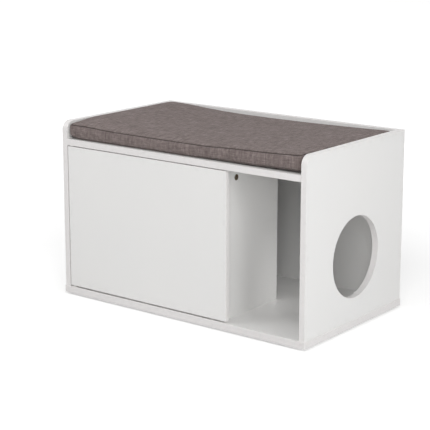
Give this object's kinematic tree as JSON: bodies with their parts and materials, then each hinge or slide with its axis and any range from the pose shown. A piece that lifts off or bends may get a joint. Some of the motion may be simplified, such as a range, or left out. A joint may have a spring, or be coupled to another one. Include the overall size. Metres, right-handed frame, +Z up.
{
  "type": "cat litter box cabinet",
  "caption": "Low white board cabinet that hides a litter box: inset side door, round entrance in its right side and a loose seat cushion set between its side panels.",
  "frame": {"origin": "on the floor, under the middle of the cabinet's outline", "axes": "+X to the right, towards the side with the round entrance; +Y from the door to the back; +Z up"},
  "size_m": [0.75, 0.43, 0.455],
  "materials": {
    "white_board": "particle board faced with smooth matt white melamine",
    "white_edge_band": "matt white plastic edge band with eased edges",
    "cushion_cloth": "coarse linen-look melange weave, taupe",
    "bronzed_zinc": "dark bronzed die-cast zinc",
    "steel": "bright zinc-plated steel",
    "beech": "plain beech",
    "nylon": "natural nylon",
    "glide_plastic": "moulded plastic",
    "catch_plastic": "moulded white plastic",
    "magnet": "dark sintered ferrite",
    "buffer_rubber": "soft translucent-grey rubber"
  },
  "bodies": {
    "cabinet": {"base_board": "white_board", "left_side_panel": "white_board", "right_side_panel": "white_board", "back_panel": "white_board", "seat_board": "white_board", "divider_panel": "white_board", "base_edge_band": "white_edge_band", "left_side_edge_band": "white_edge_band", "right_side_edge_bands": "white_edge_band", "back_edge_band": "white_edge_band", "seat_edge_band": "white_edge_band", "divider_edge_bands": "white_edge_band", "lower_pivot_bush": "nylon", "upper_pivot_bush": "nylon", "cam_bolts": "steel", "cam_discs": "bronzed_zinc", "wooden_dowels": "beech", "base_screws": "steel", "floor_glides": "glide_plastic", "catch_housing": "catch_plastic", "catch_magnet": "magnet", "catch_pole_plates": "steel", "catch_screws": "steel", "door_buffers": "buffer_rubber"},
    "door": {"door_panel": "white_board", "door_edge_band": "white_edge_band", "lower_pivot_pin": "steel", "upper_pivot_pin": "steel", "strike_plate": "steel", "strike_screw": "steel"},
    "cushion": {"seat_cushion": "cushion_cloth"}
  },
  "joints": [
    {"name": "door_swing", "type": "hinge", "parent": "cabinet", "child": "door", "pos_m": [-0.345, -0.2075, 0.2], "axis": [0, 0, -1], "range_deg": [0, 110]},
    {"name": "cushion_lift", "type": "slide", "parent": "cabinet", "child": "cushion", "axis": [0, 0, 1], "range_m": [0, 0.12]}
  ]
}
